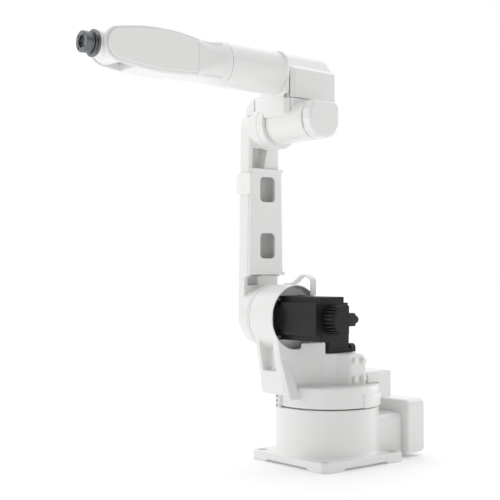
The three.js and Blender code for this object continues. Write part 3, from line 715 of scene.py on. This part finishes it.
def build_turret():
    finished(turret_casting(), "turret_housing", "turret", "arm_white", "turret_casting", 0)
    finished(stop_block(), "turret_stop", "turret", "base_white", "j1_stop_block")
    for i, height in enumerate((203, 189, 175)):
        screw = spun(moved(socket_screw(4, 2.5), (DRUM + 2 * GAP + 9, 0, height)), STOP_HEADING)
        finished(screw, f"turret_stop_screw_{i + 1}", "turret", "plain_steel", f"j1_stop_screw_{i + 1}")
    finished(first_motor(), "first_motor", "turret", "motor_black", "j1_motor_body")
    finished(first_motor_cap(), "first_motor_cap", "turret", "motor_black", "j1_motor_cap")
    finished(first_motor_plug(), "first_motor_plug", "turret", "connector_black", "j1_motor_plug")
    for i, (x, z) in enumerate(((-15, 253), (-50, 253), (-15, 308), (-50, 308))):
        plug = moved(gland_plug(), (x, 0, z))
        finished(plug, f"blanking_plug_{i + 1}", "turret", "plug_white", f"gland_plug_{i + 1}")
    finished(rear_box(), "turret_back_box", "turret", "cover_white", "turret_rear_box")
    finished(lifting_strap(), "lifting_strap", "turret", "base_white", "lifting_bracket")
    finished(reducer_case(), "shoulder_reducer", "turret", "arm_white", "j2_reducer_case")
    finished(motor_flange(), "shoulder_motor_flange", "turret", "motor_black", "j2_motor_flange")
    finished(motor_body(), "shoulder_motor", "turret", "motor_black", "j2_motor_body")
    finished(motor_ribs(), "shoulder_motor_ribs", "turret", "motor_black", "j2_motor_ribs")
    finished(motor_cap(), "shoulder_motor_cap", "turret", "motor_black", "j2_motor_cap")
    finished(motor_plug(), "shoulder_motor_plug", "turret", "connector_black", "j2_motor_plug")
    corners = ((-1, -1), (1, -1), (-1, 1), (1, 1))
    for i, (sx, sz) in enumerate(corners):
        screw = moved(socket_screw(4.5, 5, "Y"), SHOULDER + Vector((sx * 55, 8 + GAP, sz * 55)))
        finished(screw, f"shoulder_motor_screw_{i + 1}", "turret", "plain_steel", f"j2_motor_screw_{i + 1}")


# ------------------------------------------------------------------ upper arm
LOW = 70  # radii of the upper arm's ends
HIGH = 60
ARM_BACK = -170
ARM_FACE = -120
COVER_FACE = -111
COVER_LOW = 128
COVER_HIGH = 455
HIGH_HUB = 66  # radius of the hub that carries the elbow's reducer


def arm_casting():
    shell = pulled(link(LOW, HIGH, UPPER_ARM), "Y", ARM_BACK, ARM_FACE, 9)
    hollow = pulled(link(LOW - 13, HIGH - 13, UPPER_ARM), "Y", ARM_BACK + 12, ARM_FACE + 2)
    ends = block(-100, 100, -200, 0, -100, 96), block(-100, 100, -200, 0, 518, 700)
    ramp = rounded([(-100, 456), (4, 456), (-10, 519), (-100, 519)], [0, 4, 4, 0])
    bosses = block(-100, 14, -200, 0, 95, 127), pulled(ramp, "Y", -200, 0)
    room = cut(hollow, *ends, *bosses)
    waist = cut(block(-100, 100, -136, ARM_FACE + 2, -100, 122), rod("Y", 60, -140, ARM_FACE + 4))
    low_hub = rod("Y", 90, -136, -96, soft=2)
    high_hub = moved(rod("Y", HIGH_HUB, -124, -104.2, soft=2), (0, 0, UPPER_ARM))
    return moved(cast(joined(cut(shell, room, waist), low_hub, high_hub), 1.8, 4, 0.3), SHOULDER)


def arm_cover():
    sheet = pulled(link(LOW, HIGH, UPPER_ARM), "Y", ARM_FACE + GAP, COVER_FACE, 3)
    body = cut(sheet, block(-100, 100, -200, 0, -100, COVER_LOW), block(-100, 100, -200, 0, COVER_HIGH, 700))
    extras = []
    for level in (COVER_LOW, COVER_HIGH - 8):
        half = 60 + (COVER_HIGH - level) / (COVER_HIGH - COVER_LOW) * 7
        lip = rectangle(-half, COVER_FACE - 4, half - 4, COVER_FACE + 5, 2)
        lug = rectangle(-half - 8, COVER_FACE - 6, -half + 4, COVER_FACE + 2, 2)
        extras += [pulled(lip, "Z", level, level + 8, 1.5), pulled(lug, "Z", level - 2, level + 10, 1.5)]
    windows = [pulled(rectangle(-35, z0, 25, z1, 14), "Y", -130, -100) for z0, z1 in ((178, 256), (353, 430))]
    return moved(cast(cut(joined(body, *extras), *windows), 1.4, 2, 0.3), SHOULDER)


def arm_clip():
    wrap = pulled(rectangle(-172, 375, -108, 440, 4), "X", 50, 70, 1)
    keep = pulled(link(LOW + 0.5, HIGH + 0.5, UPPER_ARM), "Y", -190, -90)
    return moved(cut(wrap, keep), SHOULDER)


def elbow_stop():
    outline = rounded([(-144, 618), (-144, 638), (-114, 667), (-106, 667), (-106, 618)], 3)
    wedge = pulled(outline, "X", 30, 56, 1.5)
    head = moved(rod("Y", HIGH + GAP, -200, -119), (0, 0, UPPER_ARM))
    hub = moved(rod("Y", HIGH_HUB + GAP, -125, -100), (0, 0, UPPER_ARM))
    return moved(cut(wedge, head, hub), SHOULDER)


def build_upper_arm():
    finished(arm_casting(), "upper_arm_housing", "upper_arm", "arm_white", "upper_arm_casting", 0)
    finished(arm_cover(), "upper_arm_lid", "upper_arm", "cover_white", "upper_arm_cover", 0)
    finished(arm_clip(), "cable_clip_block", "upper_arm", "plug_white", "cable_clip")
    finished(elbow_stop(), "elbow_stop_wedge", "upper_arm", "arm_white", "elbow_stop")


# ---------------------------------------------------------------------- elbow
CUP = 59  # radius of the elbow's lower half and of its barrel
FRONT = 66  # the elbow's front face
FLANK = -95  # how far the elbow reaches over its reducer
SIDE = 61.6  # the elbow's flank on the motor's side
RING = 72  # radius of the elbow's reducer
RING_END = -48
BARREL_END = 110
COVER_END = 148
TUBE = 63.4  # radius of the forearm tube
TUBE_END = 268.8


def elbow_casting():
    cup = pulled(cradle(CUP, 17, 6), "Y", RING_END, SIDE, 2)
    lower = joined(cup, rod("Y", CUP, SIDE - 10, BARREL_END, soft=2))
    plan = [(-50, FLANK), (60, FLANK), (FRONT, -62), (FRONT, 42), (48, SIDE), (-50, SIDE)]
    web = pulled(rounded(plan, 3), "Z", 17, 67, 3)
    ear = pulled(rounded([(20, FLANK), (60, FLANK), (FRONT, -64), (20, -64)], 2), "Z", 60, 84, 1.5)
    brow = block(60, FRONT, -64, 42, 60, 78)
    waist = moved(rod("X", 59, 54.4, 62), (0, 0, RISE))
    root = pulled(rectangle(-SIDE, 77, SIDE, RISE + 65, 46), "X", 60, 72, 2)
    foot = pulled(rectangle(-SIDE, 77, SIDE, 130, 12), "X", 60, 72, 2)
    groove = block(47, 52.5, SIDE - 7, SIDE + 1, 19, 68)
    reducer = rod("Y", RING + GAP, FLANK - 1, RING_END)
    core = joined(
        pulled(rectangle(-46, 50, 50, RISE, 8), "X", -40, 55),
        moved(rod("X", 42, -40, 55), (0, 0, RISE)),
    )
    drill = rod("Y", 48, -60, BARREL_END + 2)
    gallery = moved(rod("X", 34, -60, 90), (0, 0, RISE))
    body = joined(lower, web, ear, brow, waist, root, foot, core)
    body = cut(body, drill, gallery, reducer, groove)
    return moved(cast(body, 1.5, 3, 0.35), ELBOW)


def elbow_ring():
    outer = turned([
        (0, -103.6), (RING - 2, -103.6), (RING, -101), (RING, -78), (RING - 1.5, -77.4),
        (RING - 1.5, -75.8), (RING, -75.2), (RING, RING_END - GAP), (0, RING_END - GAP),
    ], "Y", ROUND, 0.6)
    return moved(cut(outer, rod("Y", 40, -110, -40)), ELBOW)


def elbow_motor_cover():
    outline = rounded([
        (38, 50), (-52, 50), (-62, 36), (-62, -18), (-42, -48), (-12, -59), (24, -56), (48, -36),
        (58, -6), (56, 24),
    ], 12)
    outer = pulled(outline, "Y", BARREL_END + GAP, COVER_END, 9)
    room = pulled(inset(outline, 9), "Y", BARREL_END - 2, COVER_END - 8)
    return moved(cut(outer, room), ELBOW)


def rear_cover():
    """The shell over the fourth axis's motor, open underneath."""
    flank = [(63, -75), (63, 10), (46, 23), (24, 51), (10, 63)]
    outline = rounded(flank + [(-y, z) for y, z in reversed(flank)], [3, 5, 12, 14, 10, 10, 14, 12, 5, 3])
    body = pulled(outline, "X", -128, 54, 5)
    tools = []
    for side in (-1, 1):
        corner = [(34, side * 63.4), (55, side * 54.6), (55, side * 70), (34, side * 70)]
        tools.append(pulled(corner, "Z", -90, 90))
    tools += [block(-122, 56, -56, 56, -90, 4), rod("X", 46, -122, 56)]
    shell = moved(cut(body, *tools), (0, 0, RISE))
    return moved(cut(shell, rod("Y", RING + 1, -120, RING_END + 1)), ELBOW)


def forearm_tube():
    profile = rounded([
        (52, 72.4), (TUBE + 3, 72.4), (TUBE + 2.4, 76), (TUBE + 0.6, 86), (TUBE, 94),
        (TUBE, TUBE_END), (59, TUBE_END), (59, 264), (52, 264),
    ], [0, 2, 6, 30, 20, 1.2, 0.5, 0, 0])
    return moved(turned(profile + profile[:1], "X"), FOREARM)


def build_elbow():
    finished(elbow_ring(), "elbow_reducer", "elbow", "arm_white", "j3_reducer_ring")
    finished(elbow_casting(), "elbow_housing", "elbow", "arm_white", "elbow_casting", 0)
    finished(elbow_motor_cover(), "elbow_motor_shell", "elbow", "cover_white", "j3_motor_cover")
    finished(rear_cover(), "forearm_rear_shell", "elbow", "cover_white", "j4_motor_cover")
    finished(forearm_tube(), "forearm_barrel", "elbow", "arm_white", "forearm_tube")


# ---------------------------------------------------------------------- wrist
COLLAR = 270  # where the rolling part starts, from the elbow's axis
CHEEK = 43  # the fork's outer faces
INNER = 37.4  # and its inner ones
NOSE = 48  # radius of the fork's round tip
COVER_OUT = 50  # the lids' outer faces
LID_START = 380
SLOT_START = 576  # the fork is open from here on
PIN = 13  # radius of the fifth axis's bores in the fork

# The housing's shape behind its lids: x, half width, top, bottom and corner radius,
# from the round collar to the flat flanks.
NECK = (
    (270, 63.3, 63.3, -63.3, 62),
    (288, 62.4, 61.0, -62.6, 60),
    (318, 57.8, 54.0, -57.6, 50),
    (345, 53.6, 50.6, -54.0, 36),
    (366, 51.2, 51.6, -53.4, 24),
    (388, 50.0, 54.4, -53.8, 14),
)


def wrist_outline(depth):
    """The wrist from the side, set in by depth."""
    start = COLLAR + 20
    upper = curve_through([
        (start, 55), (345, 49), (400, 56), (455, 62), (530, 62), (590, 55), (REACH + 5, NOSE - 0.3),
    ])
    lower = curve_through([
        (REACH + 8, -NOSE + 0.7), (570, -55), (500, -59), (446, -57), (345, -52.5), (start, -55),
    ])
    tip = arc(REACH, 0, NOSE, 83, -80, 48)
    line = upper[:-1] + tip + lower[1:]
    return inset(line[::-1], depth)


def neck():
    """The smooth change from the round collar to the flanks."""
    stations = [curve_through([(row[0], row[i]) for row in NECK], 6) for i in range(1, 5)]
    points = []
    for (x, wide), (_, top), (_, bottom), (_, corner) in zip(*stations):
        outline = rounded([(wide, bottom), (wide, top), (-wide, top), (-wide, bottom)], corner)
        points += [placed("X", y, z, x) for y, z in outline]
    levels = len(stations[0])
    count = len(points) // levels
    faces = [tuple(range(count)), tuple(range(len(points) - count, len(points)))]
    for start in range(0, len(points) - count, count):
        for i in range(count):
            j = (i + 1) % count
            faces.append((start + i, start + j, start + count + j, start + count + i))
    return body_from(points, faces)


def wrist_housing():
    slab = pulled(wrist_outline(0), "Y", -CHEEK, CHEEK, 7)
    root = cut(neck(), block(LID_START, 400, -70, 70, -70, 70))
    tools = [
        block(SLOT_START, 800, -INNER, INNER, -120, 120),
        pulled(rectangle(LID_START + 1, -40, 550, 42, 10), "Y", -60, 60),
        rod("X", 36, COLLAR - 2, LID_START + 5),
        moved(rod("Y", PIN, -60, 60), (REACH, 0, 0)),
    ]
    return moved(cast(cut(joined(root, slab), *tools), 1.4, 3, 0.35), FOREARM)


def wrist_cover(side):
    """A lid over one flank, level with the housing where they meet."""
    low, high = sorted((side * (CHEEK + GAP), side * COVER_OUT))
    plate = pulled(wrist_outline(8), "Y", low, high, 4)
    return moved(cut(plate, block(0, LID_START + GAP, -70, 70, -100, 100)), FOREARM)


def wrist_body():
    barrel = rod("Y", 44, -INNER + 0.6, INNER - 0.6, soft=3)
    snout = rod("X", 35, 0, 52, soft=2)
    pins = [rod("Y", 12.4, -50, -20, SMALL), rod("Y", 12.4, 20, 50, SMALL)]
    return moved(cut(joined(barrel, snout), rod("X", 15, 5, 60, SMALL), *pins), WRIST)


def output_housing():
    low = 52 + GAP
    high = 64 + GAP
    profile = rounded([
        (15, low), (33, low), (36, 55.4), (36, 59.4), (31, 60.4), (30, 61.5), (30, high), (15, high),
    ], 0.5)
    return moved(turned(profile + profile[:1], "X"), WRIST)


def tool_flange():
    low, high = 64.8, 91
    floor = high - 9
    body = turned([
        (0, low), (26, low), (26, low + 6), (28, low + 7.5), (28, high), (16, high), (16, floor), (0, floor),
    ], "X", ROUND, 1.2)
    tools = []
    for heading in (45, 135, 225, 315):
        turn = math.radians(heading)
        spot = (0, 21.5 * math.cos(turn), 21.5 * math.sin(turn))
        tools.append(moved(rod("X", 3, high - 10, high + 1, SMALL), spot))
    return moved(cut(body, *tools), WRIST)


def build_wrist():
    finished(wrist_housing(), "wrist_fork", "forearm_roll", "arm_white", "wrist_housing", 0)
    finished(wrist_cover(1), "wrist_lid_right", "forearm_roll", "cover_white", "wrist_cover_right")
    finished(wrist_cover(-1), "wrist_lid_left", "forearm_roll", "cover_white", "wrist_cover_left")
    finished(wrist_body(), "wrist_barrel", "wrist_tilt", "arm_white", "wrist_body")
    finished(output_housing(), "output_ring", "wrist_tilt", "gunmetal", "j6_output_housing")
    finished(tool_flange(), "tool_plate", "tool", "gunmetal", "tool_flange")


# ------------------------------------------------- hidden pieces keep their CAD
def dress_hidden_pieces():
    slots = {row["node"]: row["material_slot"] for row in frame["record"]["subparts"]}
    for name, node in frame["nodes"].items():
        if node.hide_render:
            continue
        node.data.materials.clear()
        node.data.materials.append(MATERIALS[slots[name]])


# -------------------------------------------------------------- camera, stage
LOOK = Vector((-0.6365, -0.7713, 0.0234))  # the camera's direction
CAMERA = (2.14165, 2.22151, 0.57434)
FOCAL = 71.4
SKY_BEHIND = 0.26  # the sky's strength behind the camera and ahead of it
SKY_AHEAD = 1.0
FLOOR = 30  # half of the floor's side, in metres
FLOOR_GLOW = 0.1


def camera():
    lens = bpy.data.cameras.new("camera")
    lens.sensor_width = 36
    lens.lens = FOCAL
    made = bpy.data.objects.new("camera", lens)
    bpy.context.scene.collection.objects.link(made)
    made.location = CAMERA
    made.rotation_euler = LOOK.to_track_quat("-Z", "Y").to_euler()
    bpy.context.scene.camera = made


def area_light(name, place, width, height, watts):
    """A softbox that faces the middle of the arm."""
    aim = Vector((0.1, 0, 0.6))
    lamp = bpy.data.lights.new(name, "AREA")
    lamp.shape = "RECTANGLE"
    lamp.size = width
    lamp.size_y = height
    lamp.energy = watts
    made = bpy.data.objects.new(name, lamp)
    bpy.context.scene.collection.objects.link(made)
    made.location = place
    made.rotation_euler = (aim - Vector(place)).to_track_quat("-Z", "Y").to_euler()


def sky():
    """Plain white at the horizon, and above it dimmer towards the camera's side."""
    world = bpy.data.worlds.new("studio")
    bpy.context.scene.world = world
    world.use_nodes = True
    tree = world.node_tree
    back = tree.nodes["Background"]
    back.inputs["Color"].default_value = (1, 1, 1, 1)
    place = node_of(tree, "ShaderNodeTexCoord", (-1100, 0)).outputs["Generated"]
    facing = node_of(tree, "ShaderNodeVectorMath", (-900, 150), operation="DOT_PRODUCT")
    facing.inputs[1].default_value = LOOK
    tree.links.new(place, facing.inputs[0])
    level = mapped(tree, facing.outputs["Value"], (-0.7, 0.7), (SKY_BEHIND, SKY_AHEAD), (-700, 150))
    parts = node_of(tree, "ShaderNodeSeparateXYZ", (-900, -150))
    tree.links.new(place, parts.inputs["Vector"])
    height = mapped(tree, parts.outputs["Z"], (0.03, 0.2), (0.0, 1.0), (-700, -150))
    mix = node_of(tree, "ShaderNodeMix", (-450, 0))
    mix.inputs["A"].default_value = 1.0
    tree.links.new(height, mix.inputs["Factor"])
    tree.links.new(level, mix.inputs["B"])
    tree.links.new(mix.outputs["Result"], back.inputs["Strength"])


def lamps():
    sun = bpy.data.lights.new("overhead", "SUN")
    sun.energy = 1.15
    sun.angle = math.radians(120)
    above = bpy.data.objects.new("overhead", sun)
    bpy.context.scene.collection.objects.link(above)
    above.rotation_euler = (0.15, 0.1, 0)
    area_light("left_softbox", (2.6, -1.45, 1.0), 0.8, 2.6, 12)
    area_light("right_softbox", (-2.6, 0.75, 1.0), 0.7, 2.6, 14)


def pale_floor():
    corners = [(-FLOOR, -FLOOR, 0), (FLOOR, -FLOOR, 0), (FLOOR, FLOOR, 0), (-FLOOR, FLOOR, 0)]
    mesh = bpy.data.meshes.new("floor")
    mesh.from_pydata(corners, [], [(0, 1, 2, 3)])
    floor = bpy.data.objects.new("floor", mesh)
    bpy.context.scene.collection.objects.link(floor)
    pale = surface("floor_pale", (0.93, 0.93, 0.93), (0.92, 0.92, 0.92), (0.7, 0.8), 60, 0.02)
    glow = pale.node_tree.nodes["Principled BSDF"]
    glow.inputs["Emission Color"].default_value = (1, 1, 1, 1)
    glow.inputs["Emission Strength"].default_value = FLOOR_GLOW
    mesh.materials.append(pale)


camera()
sky()
lamps()
pale_floor()
build_base()
build_turret()
build_upper_arm()
build_elbow()
build_wrist()
dress_hidden_pieces()
bpy.context.scene.view_settings.view_transform = "Standard"
